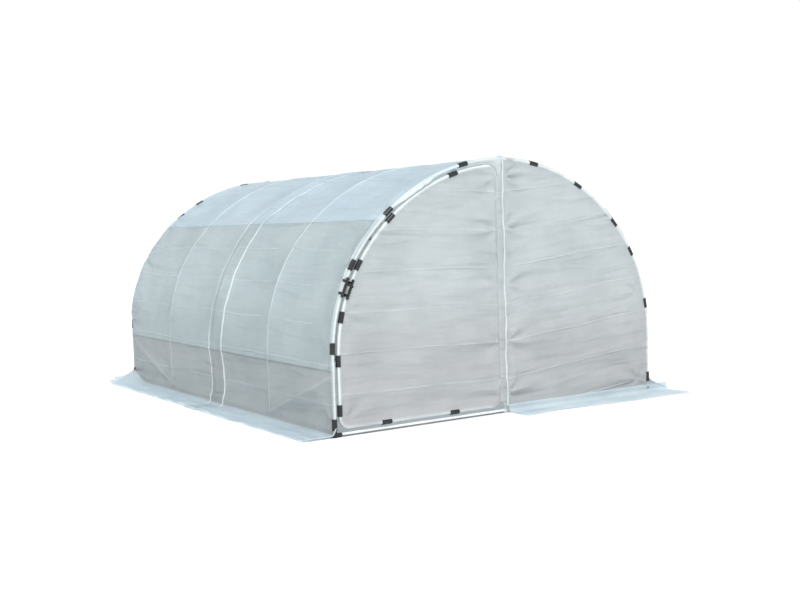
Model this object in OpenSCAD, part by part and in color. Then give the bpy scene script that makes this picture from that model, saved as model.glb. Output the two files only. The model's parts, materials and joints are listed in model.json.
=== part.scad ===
// Walk-in polytunnel: a steel tube frame on base rails, a film cover with ground skirts,
// and a framed film door hung on the centre post of the front end.
// Millimetres. +Z is up, the door end faces -Y, the ridge runs along Y and the origin is
// at floor level in the middle of the plan.

/* [Tunnel] */
// Width between the centre lines of an arch's two legs
tunnel_w = 3020; // [2400:10:3400]
// Length from the front arch to the rear arch, centre to centre
tunnel_l = 3900; // [3000:50:5000]
// Height of the centre line of an arch at the ridge
ridge_z = 1925; // [1850:5:2100]
// Height of the straight leg below the curved part of an arch
leg_h = 530; // [400:10:600]
// Radius of the side curve of an arch, at its centre line
side_r = 1290; // [1240:5:1300]

/* [Tubes] */
// Outside diameter of the frame tubes
tube_d = 25; // [20:1:30]
// Outside diameter of the corner braces
brace_d = 16; // [12:1:20]
// Height of the centre line of the base rails
rail_z = 16; // [14:1:24]
// Height of the lower side purlins
lower_purlin_z = 465; // [420:5:520]
// Angle of the upper purlins above the horizontal, about the centre of the top curve
upper_purlin_a = 46; // [43:1:52]

/* [Film] */
// Thickness of the film panels
film_t = 2.5; // [1:0.5:4]
// Gap between the arch centre line and the inner face of the cover, beyond the tube
cover_gap = 2.5; // [2:0.5:5]
// Width of the skirt that lies on the ground
skirt_w = 200; // [100:10:300]
// Thickness of the skirt
skirt_t = 3; // [2:0.5:5]

/* [Door] */
// Distance between the centre lines of the arch and the door's curved tube
door_gap = 45; // [40:1:70]
// Distance from the centre post to the door's stile, centre to centre
stile_x = 55; // [50:1:80]
// Height of the centre line of the door's bottom tube
door_bottom_z = 62; // [60:1:150]
// Radius of the door's corners on the hinge side, at the centre line
door_corner_r = 70; // [60:5:90]
// Radius of the door's lower corner on the latch side, at the centre line
door_toe_r = 70; // [70:5:120]
// Heights of the three hinges
hinge_z = [240, 970, 1640];

/* [Clips] */
// Length of a film clip
clip_l = 80; // [60:5:100]
// Distances of the clips from the ridge along the front arch, on the door side
front_clips_left = [360, 1110, 1590, 2190, 2720];
// Distances of the clips from the ridge along the front arch, on the fixed side
front_clips_right = [320, 800, 1290, 1590, 2060, 2680];
// Distances of the clips from the ridge along each side of the rear arch
rear_clips = [270, 800, 1040, 1470, 1610, 2040, 2240, 2710];
// Distances of the clips from the ridge line along the door's curved tube
door_clips_curve = [470, 1130, 1565, 1965, 2280, 2625];
// Places of the two clips on the door's bottom tube, from the centre post
door_clips_bottom = [490, 1085];

/* [Hidden] */
$fn = 48;
half_w = tunnel_w / 2;
half_l = tunnel_l / 2;
tube_r = tube_d / 2;
brace_r = brace_d / 2;
bay = tunnel_l / 4;

// Each arch is two legs, two side curves and one top curve that meet tangentially.
rise = ridge_z - leg_h;
side_x = half_w - side_r;
top_r = (side_x * side_x + rise * rise - side_r * side_r) / (2 * (rise - side_r));
top_z = ridge_z - top_r;
join_a = atan2(leg_h - top_z, side_x);
top_len = top_r * (90 - join_a) * PI / 180;
side_len = side_r * join_a * PI / 180;

collar_l = 36;
joint_a = 0.05;
roof_end_a = 89.99;
corner_h = 46;
latch_s = 1757;
latch_r = 10;
latch_end_r = 12;

sleeve_r = tube_r + 2;
fitting_r = tube_r + 2.3;
clip_ri = tube_r + 0.7;
clip_ro = tube_r + 6.5;
cover_ri = tube_r + cover_gap;
cover_ro = cover_ri + film_t;
cover_half_l = half_l - 21;
skirt_x = half_w + cover_ro;
skirt_reach_x = skirt_x + skirt_w;
skirt_y = half_l + fitting_r + 0.5;
skirt_reach_y = half_l + cover_ro + skirt_w;
panel_gap = tube_r + 1.1;
hinge_ro = 18;
hinge_clear = 0.05;
corner_x = stile_x + door_corner_r;
door_top_r = top_r - door_gap;
corner_z = top_z + sqrt(pow(door_top_r - door_corner_r, 2) - pow(corner_x, 2));
corner_a = atan2(corner_z - top_z, corner_x);
door_leg_x = half_w - door_gap;
toe_x = door_leg_x - door_toe_r;
upper_purlin_s = top_r * (90 - upper_purlin_a) * PI / 180;
lower_purlin_s = top_len + side_len + leg_h - lower_purlin_z;

// Angle of the outward normal at distance s along an arch from the ridge.
function arch_a(s) =
    s < top_len ? 90 - s / top_r * 180 / PI :
    s < top_len + side_len ? join_a - (s - top_len) / side_r * 180 / PI : 0;

// Place at distance s along an arch from the ridge, moved inwards by g.
function arch_xz(s, g = 0) =
    s < top_len ? [(top_r - g) * cos(arch_a(s)), top_z + (top_r - g) * sin(arch_a(s))] :
    s < top_len + side_len ?
        [side_x + (side_r - g) * cos(arch_a(s)), leg_h + (side_r - g) * sin(arch_a(s))] :
        [half_w - g, leg_h - (s - top_len - side_len)];

// Children stand at distance s along an arch: their X points outwards and Z along the tube.
module on_arch(s, side, y, g = 0)
    mirror([side < 0 ? 1 : 0, 0, 0])
        translate([arch_xz(s, g)[0], y, arch_xz(s, g)[1]])
            rotate([0, -arch_a(s), 0])
                children();

module both_sides() {
    children();
    mirror([1, 0, 0]) children();
}

// Part of a ring in the XZ plane, swept by the child profile from angle a0 to a1.
module arc_sweep(x, z, a0, a1)
    translate([x, 0, z])
        rotate([90, 0, 0])
            rotate([0, 0, a0])
                rotate_extrude(angle = a1 - a0, $fn = 240)
                    children();

module tube_arc(x, z, r, a0, a1)
    arc_sweep(x, z, a0, a1)
        translate([r, 0])
            circle(r = tube_r, $fn = 48);

module upright(x, z0, z1, r = tube_r)
    translate([x, 0, z0])
        cylinder(r = r, h = z1 - z0);

module tube_x(x0, x1, z, r = tube_r)
    translate([x0, 0, z])
        rotate([0, 90, 0])
            cylinder(r = r, h = x1 - x0);

module tube_y(y0, y1, r = tube_r)
    translate([0, y0, 0])
        rotate([-90, 0, 0])
            cylinder(r = r, h = y1 - y0);

// Plug-in joint between a top curve of radius r and a side curve, under a short collar.
module curve_joint(r)
    translate([r * cos(join_a), 0, top_z + r * sin(join_a)])
        rotate([0, -join_a, 0])
            translate([0, 0, -collar_l / 2])
                cylinder(r = tube_r + 0.8, h = collar_l);

// ---- frame ----

module arch(y, foot_z)
    color("whitesmoke")
        translate([0, y, 0]) {
            tube_arc(0, top_z, top_r, join_a + joint_a, 180 - join_a - joint_a);
            both_sides() {
                curve_joint(top_r);
                tube_arc(side_x, leg_h, side_r, 0, join_a - joint_a);
                upright(half_w, foot_z, leg_h);
            }
        }

module side_rail(side)
    color("whitesmoke")
        translate([side * half_w, 0, rail_z])
            tube_y(-half_l + tube_r + 0.5, half_l - tube_r - 0.5);

module end_rail(y)
    color("whitesmoke")
        translate([0, y, 0])
            tube_x(-half_w + tube_r + 0.5, half_w - tube_r - 0.5, rail_z);

module end_post(y)
    color("whitesmoke")
        translate([0, y, 0])
            upright(0, rail_z + tube_r + 0.5, ridge_z - tube_r - 0.5);

// One purlin is four tubes, each fitted between two arches.
module purlin(s, side)
    color("whitesmoke")
        for (i = [0:3])
            on_arch(s, side, -half_l + i * bay)
                tube_y(tube_r + 0.5, bay - tube_r - 0.5);

// A diagonal tube in an end bay, from the foot of the next arch up to the end arch.
module braces(side)
    color("whitesmoke")
        for (end = [-1, 1])
            mirror([0, end > 0 ? 1 : 0, 0])
                brace(side, -half_l + bay, 74, -half_l, lower_purlin_z - 42);

// A straight brace between two legs, with a plug at each end that meets the leg.
module brace(side, leg0_y, z0, leg1_y, z1) {
    plug_l = 16;
    plug_r = 5;
    y0 = leg0_y - tube_r - plug_l;
    y1 = leg1_y + tube_r + plug_l;
    translate([side * half_w, y0, z0])
        rotate([atan2(y0 - y1, z1 - z0), 0, 0])
            cylinder(r = brace_r, h = norm([y1 - y0, z1 - z0]));
    translate([side * half_w, 0, z0]) tube_y(y0, y0 + plug_l - 0.1, plug_r);
    translate([side * half_w, 0, z1]) tube_y(y1 - plug_l + 0.1, y1, plug_r);
}

// ---- fittings ----

// Black corner piece with sockets for the leg, the side rail and the end rail.
module corner_fitting()
    difference() {
        union() {
            cylinder(r = fitting_r, h = corner_h);
            translate([0, 0, rail_z]) rotate([-90, 0, 0]) cylinder(r = fitting_r, h = 52);
            translate([0, 0, rail_z]) rotate([0, -90, 0]) cylinder(r = fitting_r, h = 52);
            translate([-4, -fitting_r - 4, corner_h - 10]) rotate([-90, 0, 0]) cylinder(r = 6, h = 8);
        }
        translate([0, 0, 4]) cylinder(r = tube_r, h = 70);
        translate([0, tube_r + 0.5, rail_z]) rotate([-90, 0, 0]) cylinder(r = tube_r, h = 60);
        translate([-tube_r - 0.5, 0, rail_z]) rotate([0, -90, 0]) cylinder(r = tube_r, h = 60);
        translate([-100, -100, -40]) cube([200, 200, 40]);
    }

module corner_fittings()
    color("dimgray")
        for (end = [-1, 1])
            both_sides()
                translate([half_w, end * half_l, 0])
                    mirror([0, end > 0 ? 1 : 0, 0])
                        corner_fitting();

// A tee that joins an upright to the rail it stands on. The turn lays its sleeve along the rail.
module tee(turn)
    difference() {
        union() {
            translate([0, 0, rail_z]) cylinder(r = fitting_r - 0.5, h = 44);
            translate([0, 0, rail_z])
                rotate(turn)
                    translate([0, 0, -30])
                        cylinder(r = fitting_r, h = 60);
        }
        translate([0, 0, rail_z])
            rotate(turn)
                translate([0, 0, -40])
                    cylinder(r = tube_r, h = 80);
        translate([0, 0, rail_z + tube_r + 0.5]) cylinder(r = tube_r, h = 60);
    }

module tee_fittings()
    color("gainsboro") {
        for (i = [1:3])
            both_sides()
                translate([half_w, -half_l + i * bay, 0])
                    tee([-90, 0, 0]);
        for (end = [-1, 1])
            translate([0, end * half_l, 0])
                tee([0, 90, 0]);
    }

// The piece at the top of each end post, with a nub that lifts the film at the apex.
module ridge_fitting()
    difference() {
        union() {
            upright(0, ridge_z - 70, ridge_z, fitting_r);
            tube_x(-32, 32, ridge_z, fitting_r);
            translate([0, 0, ridge_z]) tube_y(0, 50, fitting_r);
            upright(0, ridge_z, ridge_z + tube_r + 14, 7);
        }
        upright(0, ridge_z - 80, ridge_z - tube_r - 0.5);
        tube_arc(0, top_z, top_r, 87, 93);
        translate([0, 0, ridge_z]) tube_y(tube_r + 0.5, 60);
    }

module ridge_fittings()
    color("gainsboro")
        for (end = [-1, 1])
            mirror([0, end > 0 ? 1 : 0, 0])
                translate([0, -half_l, 0])
                    ridge_fitting();

// A cross-shaped sleeve where a purlin meets an arch. Its stubs run to y0 and y1.
module purlin_sleeve(s, side, y, y0, y1)
    difference() {
        on_arch(s, side, y) {
            translate([0, 0, -32]) cylinder(r = sleeve_r, h = 64);
            tube_y(y0, y1, sleeve_r);
        }
        translate([0, y, 0])
            mirror([side < 0 ? 1 : 0, 0, 0]) {
                tube_arc(0, top_z, top_r, max(join_a, arch_a(s) - 3), arch_a(s) + 3);
                upright(half_w, lower_purlin_z - 60, leg_h);
            }
        on_arch(s, side, y) {
            tube_y(tube_r + 0.5, 60);
            tube_y(-60, -tube_r - 0.5);
        }
    }

module purlin_sleeves(s)
    color("gainsboro")
        for (i = [0:4])
            for (side = [-1, 1])
                purlin_sleeve(s, side, -half_l + i * bay, i == 0 ? 0 : -50, i == 4 ? 0 : 50);

module ridge_sleeves()
    color("gainsboro")
        for (i = [1:3])
            purlin_sleeve(0, 1, -half_l + i * bay, -50, 50);

// ---- film ----

// A strip of the cover between two radii and two angles, as long as the cover.
module cover_arc(x, z, r, a0, a1)
    arc_sweep(x, z, a0, a1)
        translate([r + cover_ri, -cover_half_l])
            square([film_t, 2 * cover_half_l]);

module cover_plate(z0, z1)
    translate([half_w + cover_ri, -cover_half_l, z0])
        cube([film_t, 2 * cover_half_l, z1 - z0]);

module cover_wall()
    color("lightsteelblue", 0.5)
        cover_plate(0, lower_purlin_z);

module cover_side()
    color("lightsteelblue", 0.5) {
        cover_plate(lower_purlin_z, leg_h);
        cover_arc(side_x, leg_h, side_r, 0, join_a);
        cover_arc(0, top_z, top_r, join_a, upper_purlin_a);
    }

module cover_roof()
    color("powderblue", 0.5)
        cover_arc(0, top_z, top_r, upper_purlin_a, roof_end_a);

// Area under the right half of an arch, moved inwards by g, right of x0 and above z0.
module under_arch(g, x0, z0)
    intersection() {
        translate([x0, z0]) square([half_w - g - x0, ridge_z]);
        union() {
            square([half_w - g, leg_h]);
            intersection() {
                translate([0, top_z]) circle(r = top_r - g, $fn = 180);
                union() {
                    translate([side_x, leg_h]) circle(r = side_r - g, $fn = 180);
                    polygon([
                        [side_x, leg_h],
                        [side_x + 2 * top_r * cos(join_a), leg_h + 2 * top_r * sin(join_a)],
                        [0, 3 * top_r],
                        [0, leg_h]
                    ]);
                }
            }
        }
    }

// An upright film panel in the plane of an end arch.
module end_panel(y)
    translate([0, y + film_t / 2, 0])
        rotate([90, 0, 0])
            linear_extrude(height = film_t)
                children();

module front_film()
    color("lightgray", 0.5)
        end_panel(-half_l)
            under_arch(panel_gap + 3, hinge_ro + 6, rail_z + fitting_r + 1);

module rear_film()
    color("lightgray", 0.5)
        both_sides()
            end_panel(half_l)
                under_arch(panel_gap + 3, fitting_r + 0.5, rail_z + fitting_r + 1);

module side_skirt()
    color("lightblue", 0.6)
        translate([skirt_x, -skirt_y, 0])
            cube([skirt_w, 2 * skirt_y, skirt_t]);

module end_skirt(x0)
    color("lightblue", 0.6)
        translate([x0, skirt_y, 0])
            cube([skirt_reach_x - x0, skirt_reach_y - skirt_y, skirt_t]);

// ---- clips ----

// A C-shaped clip that snaps over a tube. Its gap faces -X, where the film comes out.
module clip()
    difference() {
        union() {
            translate([0, 0, -clip_l / 2]) cylinder(r = clip_ro, h = clip_l);
            for (a = [-60, 0, 60])
                rotate([0, 0, a])
                    translate([clip_ro - 0.6, -1.2, -clip_l / 2 + 4])
                        cube([1.6, 2.4, clip_l - 8]);
        }
        translate([0, 0, -clip_l / 2 - 1]) cylinder(r = clip_ri, h = clip_l + 2);
        translate([-clip_ro - 2, -10, -clip_l / 2 - 1]) cube([clip_ro, 20, clip_l + 2]);
    }

module arch_clips_front()
    color("black") {
        for (s = front_clips_left) on_arch(s, -1, -half_l, 0.3) clip();
        for (s = front_clips_right) on_arch(s, 1, -half_l, 0.3) clip();
    }

module arch_clips_rear()
    color("black")
        for (s = rear_clips)
            for (side = [-1, 1])
                on_arch(s, side, half_l, 0.3)
                    clip();

module door_clips()
    color("black") {
        for (s = door_clips_curve) on_arch(s, -1, -half_l, door_gap + 0.3) clip();
        for (x = door_clips_bottom)
            translate([-x, -half_l, door_bottom_z])
                rotate([0, 90, 0])
                    clip();
    }

// ---- door ----

// The door's curved tube, which follows the arch from the toe to the top corner.
module door_hoop()
    color("whitesmoke")
        translate([0, -half_l, 0])
            mirror([1, 0, 0]) {
                tube_arc(0, top_z, door_top_r, join_a + joint_a, corner_a);
                curve_joint(door_top_r);
                tube_arc(side_x, leg_h, side_r - door_gap, 0, join_a - joint_a);
                upright(door_leg_x, door_bottom_z + door_toe_r, leg_h);
                tube_arc(toe_x, door_bottom_z + door_toe_r, door_toe_r, -90, 0);
            }

// The door's stile with both of its corners, and its bottom tube.
module door_stile()
    color("whitesmoke")
        translate([0, -half_l, 0])
            mirror([1, 0, 0]) {
                tube_x(corner_x, toe_x, door_bottom_z);
                tube_arc(corner_x, door_bottom_z + door_corner_r, door_corner_r, 180, 270);
                upright(stile_x, door_bottom_z + door_corner_r, corner_z);
                tube_arc(corner_x, corner_z, door_corner_r, corner_a, 180);
            }

// Area inside the door's loop.
module door_area() {
    inner_x = stile_x + panel_gap;
    inner_z = door_bottom_z + panel_gap;
    round_r = door_corner_r - panel_gap;
    toe_z = door_bottom_z + door_toe_r;
    under_arch(door_gap + panel_gap, corner_x, toe_z);
    translate([inner_x, door_bottom_z + door_corner_r])
        square([corner_x - inner_x, corner_z - door_bottom_z - door_corner_r]);
    translate([corner_x, inner_z]) square([toe_x - corner_x, toe_z - inner_z]);
    translate([corner_x, corner_z]) circle(r = round_r);
    translate([corner_x, door_bottom_z + door_corner_r]) circle(r = round_r);
    translate([toe_x, toe_z]) circle(r = door_toe_r - panel_gap);
}

module door_film()
    color("lightgray", 0.5)
        mirror([1, 0, 0])
            end_panel(-half_l)
                door_area();

// A ring that turns on the centre post, with an arm to a sleeve on the stile.
module hinge(z)
    translate([0, -half_l, z])
        difference() {
            union() {
                translate([0, 0, -20]) cylinder(r = hinge_ro, h = 40);
                translate([-stile_x, 0, -20]) cylinder(r = fitting_r, h = 40);
                translate([-stile_x, -5, -14]) cube([stile_x, 10, 28]);
            }
            translate([0, 0, -21]) cylinder(r = tube_r + hinge_clear, h = 42);
            translate([-stile_x, 0, -21]) cylinder(r = tube_r, h = 42);
            translate([-stile_x - fitting_r - 1, -3, -21]) cube([fitting_r, 6, 42]);
        }

module door_hinges()
    color("gainsboro")
        for (z = hinge_z)
            hinge(z);

// ---- latch ----

// A grip bar that stands off the tube on two clamps.
module latch_bar() {
    for (z = [-46, 46])
        difference() {
            union() {
                translate([0, 0, z - 9]) cylinder(r = clip_ro, h = 18);
                translate([-6, -32, z - 9]) cube([12, 22, 18]);
            }
            translate([0, 0, z - 10]) cylinder(r = clip_ri, h = 20);
            translate([-clip_ro - 2, -6, z - 10]) cube([clip_ro, 12, 20]);
        }
    translate([0, -27, -63]) cylinder(r = latch_r, h = 126);
    for (e = [-63, 63])
        translate([0, -27, e]) sphere(r = latch_end_r);
}

module latch_keeper()
    color("black")
        on_arch(latch_s, -1, -half_l, 0.3)
            latch_bar();

// The door's bar carries a hook that passes in front of the keeper.
module door_latch()
    color("black")
        on_arch(latch_s, -1, -half_l, door_gap + 0.3) {
            latch_bar();
            translate([-5, -50, 14]) cube([10, 24, 14]);
            translate([-5, -50, 14]) cube([door_gap + 14, 8, 14]);
        }

side_rail(-1);  // base_rail_left
side_rail(1);  // base_rail_right
end_rail(half_l);  // base_rail_rear
end_rail(-half_l);  // threshold_rail
arch(-half_l, 4);  // arch_front
arch(-half_l + bay, rail_z + tube_r + 0.5);  // arch_second
arch(0, rail_z + tube_r + 0.5);  // arch_middle
arch(half_l - bay, rail_z + tube_r + 0.5);  // arch_fourth
arch(half_l, 4);  // arch_rear
purlin(0, 1);  // ridge_purlin
purlin(upper_purlin_s, -1);  // upper_purlin_left
purlin(upper_purlin_s, 1);  // upper_purlin_right
purlin(lower_purlin_s, -1);  // lower_purlin_left
purlin(lower_purlin_s, 1);  // lower_purlin_right
end_post(-half_l);  // front_post
end_post(half_l);  // rear_post
braces(-1);  // braces_left
braces(1);  // braces_right
corner_fittings();
tee_fittings();
ridge_fittings();
purlin_sleeves(upper_purlin_s);  // purlin_sleeves_upper
purlin_sleeves(lower_purlin_s);  // purlin_sleeves_lower
ridge_sleeves();  // purlin_sleeves_ridge
mirror([1, 0, 0]) cover_wall();  // cover_wall_left
cover_wall();  // cover_wall_right
mirror([1, 0, 0]) cover_side();  // cover_side_left
cover_side();  // cover_side_right
mirror([1, 0, 0]) cover_roof();  // cover_roof_left
cover_roof();  // cover_roof_right
front_film();
rear_film();
mirror([1, 0, 0]) side_skirt();  // skirt_left
side_skirt();  // skirt_right
mirror([0, 1, 0]) end_skirt(fitting_r + 20);  // skirt_front
end_skirt(-skirt_reach_x);  // skirt_rear
arch_clips_front();
arch_clips_rear();
latch_keeper();
door_hoop();
door_stile();
door_film();
door_hinges();
door_clips();
door_latch();
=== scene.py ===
"""Film, hems, clips and finishes of a walk-in polytunnel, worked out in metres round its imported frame."""
import json
import math

import bmesh
import bpy
import numpy as np
from mathutils import Matrix, Vector


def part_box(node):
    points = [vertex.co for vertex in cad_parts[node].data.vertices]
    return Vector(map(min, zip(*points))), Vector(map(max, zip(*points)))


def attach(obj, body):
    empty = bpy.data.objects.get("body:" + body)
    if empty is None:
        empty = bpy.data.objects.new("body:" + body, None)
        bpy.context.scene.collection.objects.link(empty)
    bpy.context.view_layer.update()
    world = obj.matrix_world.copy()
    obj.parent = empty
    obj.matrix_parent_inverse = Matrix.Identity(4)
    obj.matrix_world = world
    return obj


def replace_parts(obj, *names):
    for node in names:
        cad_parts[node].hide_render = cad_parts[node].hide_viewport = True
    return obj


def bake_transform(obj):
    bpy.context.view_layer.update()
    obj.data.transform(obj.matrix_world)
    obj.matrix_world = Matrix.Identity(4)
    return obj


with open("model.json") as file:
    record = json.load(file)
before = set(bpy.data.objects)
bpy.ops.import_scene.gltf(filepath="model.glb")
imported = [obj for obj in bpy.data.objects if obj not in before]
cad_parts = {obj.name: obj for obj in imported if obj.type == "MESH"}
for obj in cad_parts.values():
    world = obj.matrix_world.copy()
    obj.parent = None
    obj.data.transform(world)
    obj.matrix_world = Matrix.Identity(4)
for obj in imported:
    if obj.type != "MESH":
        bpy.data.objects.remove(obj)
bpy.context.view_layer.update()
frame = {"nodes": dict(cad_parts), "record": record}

# ---- sizes: some from the frame, the others given ----
TUBE_R = (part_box("threshold_rail")[1][2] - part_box("threshold_rail")[0][2]) / 2
HALF_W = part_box("base_rail_right")[1][0] - TUBE_R       # middle of a leg
HALF_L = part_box("base_rail_rear")[1][1] - TUBE_R        # middle of an end arch
RAIL_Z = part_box("threshold_rail")[0][2] + TUBE_R
RIDGE_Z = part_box("ridge_purlin")[1][2] - TUBE_R
LOWER_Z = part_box("lower_purlin_left")[0][2] + TUBE_R
LEG_H = 0.53                                            # straight part of a leg
SIDE_R = 1.29                                           # side curve of an arch
UPPER_A = math.radians(46)                              # upper purlins, above the horizontal
DOOR_GAP = 0.045                                        # arch to the door's curved tube
STILE_X = 0.055                                         # centre post to the door's stile
DOOR_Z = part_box("door_stile")[0][2] + TUBE_R            # the door's bottom tube
DOOR_CORNER_R = 0.07
DOOR_TOE_R = 0.07
BAY = HALF_L / 2
SKIRT_W = 0.2
SKIRT_HEM = 0.03                                        # turn and hem that a skirt has beyond its width
FILM = 0.0011                                           # room a layer of film takes on a tube
LAP = 0.13                                              # half of the lap over the middle arch
HEM_W = 0.014
TIP_H, TIP_W, TIP_L = 0.014, 0.022, 0.045               # the film's tip over the end of the ridge
CORNER_LIFT = 0.085                                     # how far a skirt's corner stands up off the floor
TURN_R = 0.036                                          # radius of the cover's turn on to the floor
LEAVE_A = 99                                            # degrees round a tube where an end panel leaves it
BRACE_TOP, BRACE_LOW = 0.423, 0.074                     # heights of a corner brace's ends
SLEEVE_RISE = 0.0024                                    # a sleeve over a tube lifts the film this much

RISE = RIDGE_Z - LEG_H
SIDE_X = HALF_W - SIDE_R
TOP_R = (SIDE_X ** 2 + RISE ** 2 - SIDE_R ** 2) / (2 * (RISE - SIDE_R))
TOP_Z = RIDGE_Z - TOP_R
JOIN_A = math.atan2(LEG_H - TOP_Z, SIDE_X)
TOP_LEN = TOP_R * (math.pi / 2 - JOIN_A)
SIDE_LEN = SIDE_R * JOIN_A
FOOT_S = TOP_LEN + SIDE_LEN + LEG_H                     # ridge to floor, along an arch
EDGE_S = FOOT_S + SKIRT_W + SKIRT_HEM                   # ridge to the skirt's edge
UPPER_S = TOP_R * (math.pi / 2 - UPPER_A)
LOWER_S = FOOT_S - LOWER_Z


# ---- curves ----

def arch_path(s, out=0.0):
    """Point (x, z) and outward direction (nx, nz) on the right half of an arch, s metres from the ridge.

    Top curve, side curve and leg follow each other tangentially, all moved outwards by out.
    """
    s = np.asarray(s, float)
    top, side = s < TOP_LEN, s < TOP_LEN + SIDE_LEN
    angle = np.where(top, math.pi / 2 - s / TOP_R, np.where(side, JOIN_A - (s - TOP_LEN) / SIDE_R, 0.0))
    radius = np.where(top, TOP_R, np.where(side, SIDE_R, 0.0)) + out
    x = np.where(top, 0.0, np.where(side, SIDE_X, HALF_W)) + radius * np.cos(angle)
    z = np.where(top, TOP_Z, LEG_H) + radius * np.sin(angle)
    z = np.where(side, z, LEG_H - (s - TOP_LEN - SIDE_LEN))
    return x, z, np.cos(angle), np.sin(angle)


def cover_path(s, out):
    """arch_path that turns outwards at the floor in a quarter circle of radius TURN_R and runs on flat."""
    s = np.asarray(s, float)
    x, z, nx, nz = arch_path(s, out)
    start = FOOT_S - TURN_R
    bend = np.clip((s - start) / TURN_R, 0, math.pi / 2)
    run = np.maximum(s - start - TURN_R * math.pi / 2, 0)
    low = s > start
    x = np.where(low, HALF_W + out + TURN_R * (1 - np.cos(bend)) + run, x)
    z = np.where(low, TURN_R * (1 - np.sin(bend)), z)
    return x, z, np.where(low, np.cos(bend), nx), np.where(low, np.sin(bend), nz)


def even(points, step):
    """The polyline through points, cut again at even steps of about step metres."""
    points = np.asarray(points, float)
    along = np.concatenate([[0], np.cumsum(np.linalg.norm(np.diff(points, axis=0), axis=1))])
    want = np.linspace(0, along[-1], max(3, round(along[-1] / step) + 1))
    return np.stack([np.interp(want, along, points[:, k]) for k in range(points.shape[1])], -1)


def arc(cx, cz, r, a0, a1, n=24):
    """n points of a circle about (cx, cz) from angle a0 to a1, in degrees."""
    a = np.radians(np.linspace(a0, a1, n))
    return np.stack([cx + r * np.cos(a), cz + r * np.sin(a)], -1)


def smooth(x, a, b):
    """0 before a, 1 after b and a smooth S between them."""
    t = np.clip((x - a) / (b - a), 0, 1)
    return t * t * (3 - 2 * t)


def ripple(u, v, seed, waves, long_u, long_v):
    """Sum of sine waves in u and v with seeded directions and phases, about 1 high.

    long_u and long_v are the mean wavelengths, so unequal ones give folds that run one way.
    """
    rng = np.random.default_rng(seed)
    total = 0
    for _ in range(waves):
        ku, kv = rng.normal(0, 1, 2) * (2 * math.pi / long_u, 2 * math.pi / long_v)
        total = total + np.sin(ku * u + kv * v + rng.uniform(0, 2 * math.pi))
    return total / math.sqrt(waves)


def crease(x, at, width):
    """A soft ridge 1 high at x = at, width wide."""
    return np.exp(-((x - at) / width) ** 2)


# ---- meshes ----

def mesh_piece(name, points, faces, uv=None, **values):
    """A smooth-shaded object from vertices, faces, one UV pair per vertex and named values per vertex."""
    mesh = bpy.data.meshes.new(name)
    mesh.from_pydata(points.reshape(-1, 3).tolist(), [], faces.tolist())
    mesh.polygons.foreach_set("use_smooth", np.ones(len(mesh.polygons), bool))
    if uv is not None:
        corner = np.zeros(len(mesh.loops), np.int32)
        mesh.loops.foreach_get("vertex_index", corner)
        flat = uv.reshape(-1, 2)[corner].ravel().astype(np.float32)
        mesh.uv_layers.new(name="cut").data.foreach_set("uv", flat)
    for key, value in values.items():
        value = np.broadcast_to(value, points.shape[:-1]).ravel().astype(np.float32)
        mesh.attributes.new(key, "FLOAT", "POINT").data.foreach_set("value", value)
    mesh.validate()
    mesh.update()
    piece = bpy.data.objects.new(name, mesh)
    bpy.context.scene.collection.objects.link(piece)
    return piece


def grid_faces(rows, columns, around=False, flip=False):
    """Quads of a rows by columns grid of vertices. around joins the last column to the first."""
    at = np.arange(rows * columns).reshape(rows, columns)
    if around:
        at = np.concatenate([at, at[:, :1]], 1)
    quads = np.stack([at[:-1, :-1], at[:-1, 1:], at[1:, 1:], at[1:, :-1]], -1).reshape(-1, 4)
    return quads[:, ::-1] if flip else quads


def grid_piece(name, points, uv=None, around=False, flip=False, **values):
    """One surface through a rows by columns array of points."""
    rows, columns = points.shape[:2]
    return mesh_piece(name, points, grid_faces(rows, columns, around, flip), uv, **values)


def swept(path, radius, sides=8):
    """Points of a round tube of that radius along path, as rings, with a closed cap point at each end.

    Each ring lies square to the path, in a frame carried along it from the first ring.
    """
    path = np.asarray(path, float)
    tangent = np.gradient(path, axis=0)
    tangent /= np.linalg.norm(tangent, axis=1)[:, None]
    guide = np.array([0.0, 1.0, 0.0]) if abs(tangent[0][1]) < 0.9 else np.array([1.0, 0.0, 0.0])
    side = guide - (tangent @ guide)[:, None] * tangent
    side /= np.linalg.norm(side, axis=1)[:, None]
    other = np.cross(tangent, side)
    a = np.linspace(0, 2 * math.pi, sides, endpoint=False)
    radius = np.broadcast_to(np.asarray(radius, float), (len(path),))[:, None, None]
    ring = np.cos(a)[None, :, None] * side[:, None] + np.sin(a)[None, :, None] * other[:, None]
    rings = path[:, None] + radius * ring
    first = np.broadcast_to(path[0], (1, sides, 3))
    last = np.broadcast_to(path[-1], (1, sides, 3))
    return np.concatenate([first, rings, last])


def joined(name, tubes):
    """One object from several swept tubes, each its own surface."""
    points, faces, start = [], [], 0
    for tube in tubes:
        rows, columns = tube.shape[:2]
        points.append(tube.reshape(-1, 3))
        faces.append(grid_faces(rows, columns, around=True) + start)
        start += rows * columns
    piece = mesh_piece(name, np.concatenate(points), np.concatenate(faces))
    weld(piece)
    return piece


def weld(piece, gap=1e-5):
    """Merges vertices closer than gap, so that caps and poles close."""
    bm = bmesh.new()
    bm.from_mesh(piece.data)
    bmesh.ops.remove_doubles(bm, verts=bm.verts, dist=gap)
    bmesh.ops.dissolve_degenerate(bm, edges=bm.edges, dist=gap / 10)
    bm.to_mesh(piece.data)
    bm.free()


# ---- materials ----

def rgb(code):
    """An sRGB hex colour as linear RGBA."""
    parts = [int(code[i:i + 2], 16) / 255 for i in (1, 3, 5)]
    return [c / 12.92 if c <= 0.04045 else ((c + 0.055) / 1.055) ** 2.4 for c in parts] + [1.0]


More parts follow.
